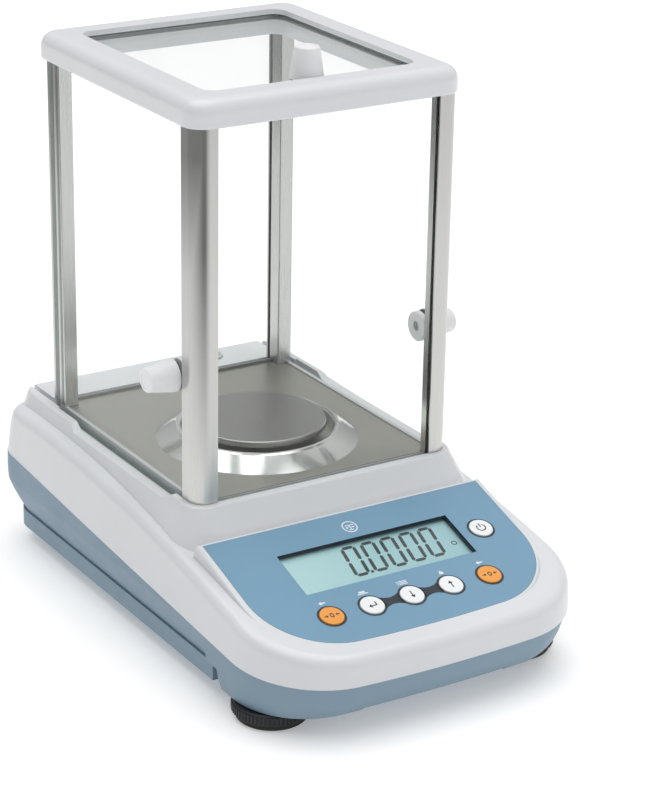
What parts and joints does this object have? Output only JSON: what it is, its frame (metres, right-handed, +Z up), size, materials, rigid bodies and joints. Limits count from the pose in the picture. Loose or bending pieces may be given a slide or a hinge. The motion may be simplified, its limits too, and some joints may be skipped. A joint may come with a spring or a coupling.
{
  "type": "analytical balance",
  "caption": "Analytical balance with a glass draft shield on aluminium posts, three sliding doors, a round steel pan in a draught ring and a sloping keypad with a liquid crystal display.",
  "frame": {"origin": "on the surface the balance stands on, below the middle of its base", "axes": "+X to the right seen from the keypad, +Y to the back, +Z up"},
  "size_m": [0.2072, 0.3418, 0.3319],
  "materials": {
    "white_plastic": "moulded shell with a soft satin sheen",
    "blue_grey_plastic": "moulded lower shell with a fine texture",
    "grey_plastic": "smooth moulded trim",
    "knob_plastic": "smooth satin knob",
    "black_plastic": "black moulding",
    "black_rubber": "matt black rubber",
    "clear_glass": "clear float glass",
    "clear_window": "clear acrylic",
    "satin_aluminium": "satin anodised extrusion, grain along its length",
    "brushed_plate": "brushed stainless sheet",
    "brushed_pan": "brushed stainless pan with a bright rim",
    "polished_steel": "polished stainless spinning",
    "steel_fastener": "turned steel",
    "cell_aluminium": "machined aluminium",
    "magnet_iron": "nickel-plated soft iron",
    "copper_wire": "enamelled copper winding",
    "brass_insert": "turned brass",
    "circuit_board": "populated circuit board",
    "lcd_face": "pale cyan display face",
    "blue_overlay": "satin printed foil",
    "orange_key": "satin key cap",
    "white_key": "satin key cap"
  },
  "bodies": {
    "root": {"case_screws": "steel_fastener", "cell_frame": "cell_aluminium", "chamber_floor": "brushed_plate", "chassis_plate": "cell_aluminium", "display_board": "circuit_board", "door_rails": "grey_plastic", "foot_inserts": "brass_insert", "front_glass": "clear_glass", "front_left_post": "satin_aluminium", "front_right_post": "satin_aluminium", "glass_seals": "black_rubber", "keypad_overlay": "blue_overlay", "lcd_module": "lcd_face", "lcd_window": "clear_window", "level_bezel": "grey_plastic", "level_vial": "clear_window", "lower_housing": "blue_grey_plastic", "magnet_pot": "magnet_iron", "main_board": "circuit_board", "position_sensor": "circuit_board", "rear_feet": "black_rubber", "rear_glass": "clear_glass", "rear_left_post": "satin_aluminium", "rear_right_post": "satin_aluminium", "rear_sockets": "black_plastic", "top_frame": "white_plastic", "upper_housing": "white_plastic"},
    "left_door": {"left_door_glass": "clear_glass", "left_knob": "knob_plastic", "left_knob_washer": "black_rubber", "left_knob_disc": "knob_plastic", "left_knob_screw": "steel_fastener"},
    "right_door": {"right_door_glass": "clear_glass", "right_knob": "knob_plastic", "right_knob_washer": "black_rubber", "right_knob_disc": "knob_plastic", "right_knob_screw": "steel_fastener"},
    "top_door": {"top_door_glass": "clear_glass", "top_knob": "knob_plastic", "top_knob_washer": "black_rubber", "top_knob_disc": "knob_plastic", "top_knob_screw": "steel_fastener"},
    "load_carrier": {"pan_carrier": "steel_fastener", "load_receiver": "cell_aluminium"},
    "pan": {"weighing_pan": "brushed_pan"},
    "draught_ring": {"wind_ring": "polished_steel"},
    "lever": {"cell_lever": "cell_aluminium", "coil": "copper_wire"},
    "upper_guide": {"upper_guide": "cell_aluminium"},
    "lower_guide": {"lower_guide": "cell_aluminium"},
    "down_button": {"down_button": "white_key"},
    "enter_button": {"enter_button": "white_key"},
    "power_button": {"power_button": "white_key"},
    "up_button": {"up_button": "white_key"},
    "zero_left_button": {"zero_left_button": "orange_key"},
    "zero_right_button": {"zero_right_button": "orange_key"},
    "left_foot_pad": {"left_foot_pad": "black_rubber"},
    "left_foot_wheel": {"left_foot_wheel": "black_plastic"},
    "right_foot_pad": {"right_foot_pad": "black_rubber"},
    "right_foot_wheel": {"right_foot_wheel": "black_plastic"}
  },
  "joints": [
    {"name": "left_door_slide", "type": "slide", "parent": "root", "child": "left_door", "axis": [0, 1, 0], "range_m": [0, 0.125]},
    {"name": "right_door_slide", "type": "slide", "parent": "root", "child": "right_door", "axis": [0, 1, 0], "range_m": [0, 0.125]},
    {"name": "top_door_slide", "type": "slide", "parent": "root", "child": "top_door", "axis": [0, 1, 0], "range_m": [0, 0.125]},
    {"name": "load_deflection", "type": "slide", "parent": "root", "child": "load_carrier", "axis": [0, 0, -1], "range_m": [0, 0.0002], "stiffness_N_per_m": 20000, "springref_m": -0.00015},
    {"name": "pan_lift", "type": "slide", "parent": "load_carrier", "child": "pan", "axis": [0, 0, 1], "range_m": [0, 0.06]},
    {"name": "ring_lift", "type": "slide", "parent": "root", "child": "draught_ring", "axis": [0, 0, 1], "range_m": [0, 0.06]},
    {"name": "lever_tilt", "type": "hinge", "parent": "root", "child": "lever", "pos_m": [0, 0.058, 0.0467], "axis": [1, 0, 0], "range_deg": [0, 0.6]},
    {"name": "upper_guide_tilt", "type": "hinge", "parent": "root", "child": "upper_guide", "pos_m": [0, 0.098, 0.0669], "axis": [1, 0, 0], "range_deg": [0, 0.2]},
    {"name": "lower_guide_tilt", "type": "hinge", "parent": "root", "child": "lower_guide", "pos_m": [0, 0.098, 0.0345], "axis": [1, 0, 0], "range_deg": [0, 0.2]},
    {"name": "down_button_press", "type": "slide", "parent": "root", "child": "down_button", "axis": [0, 0.2924, -0.9563], "range_m": [0, 0.0005], "stiffness_N_per_m": 1500, "springref_m": -0.0003},
    {"name": "enter_button_press", "type": "slide", "parent": "root", "child": "enter_button", "axis": [0, 0.2924, -0.9563], "range_m": [0, 0.0005], "stiffness_N_per_m": 1500, "springref_m": -0.0003},
    {"name": "power_button_press", "type": "slide", "parent": "root", "child": "power_button", "axis": [0, 0.2924, -0.9563], "range_m": [0, 0.0005], "stiffness_N_per_m": 1500, "springref_m": -0.0003},
    {"name": "up_button_press", "type": "slide", "parent": "root", "child": "up_button", "axis": [0, 0.2924, -0.9563], "range_m": [0, 0.0005], "stiffness_N_per_m": 1500, "springref_m": -0.0003},
    {"name": "zero_left_button_press", "type": "slide", "parent": "root", "child": "zero_left_button", "axis": [0, 0.2924, -0.9563], "range_m": [0, 0.0005], "stiffness_N_per_m": 1500, "springref_m": -0.0003},
    {"name": "zero_right_button_press", "type": "slide", "parent": "root", "child": "zero_right_button", "axis": [0, 0.2924, -0.9563], "range_m": [0, 0.0005], "stiffness_N_per_m": 1500, "springref_m": -0.0003},
    {"name": "left_foot_height", "type": "slide", "parent": "root", "child": "left_foot_pad", "axis": [0, 0, -1], "range_m": [0, 0.005]},
    {"name": "left_foot_turn", "type": "hinge", "parent": "left_foot_pad", "child": "left_foot_wheel", "pos_m": [-0.0795, -0.119, 0.006], "axis": [0, 0, 1], "range_deg": [0, 1800]},
    {"name": "right_foot_height", "type": "slide", "parent": "root", "child": "right_foot_pad", "axis": [0, 0, -1], "range_m": [0, 0.005]},
    {"name": "right_foot_turn", "type": "hinge", "parent": "right_foot_pad", "child": "right_foot_wheel", "pos_m": [0.0795, -0.119, 0.006], "axis": [0, 0, 1], "range_deg": [0, 1800]}
  ],
  "couplings": [
    {"joint": "lever_tilt", "follows": "load_deflection", "rad_per_m": 50},
    {"joint": "upper_guide_tilt", "follows": "load_deflection", "rad_per_m": 15.267},
    {"joint": "lower_guide_tilt", "follows": "load_deflection", "rad_per_m": 15.267},
    {"joint": "left_foot_height", "follows": "left_foot_turn", "m_per_rad": 0.000159},
    {"joint": "right_foot_height", "follows": "right_foot_turn", "m_per_rad": 0.000159}
  ]
}
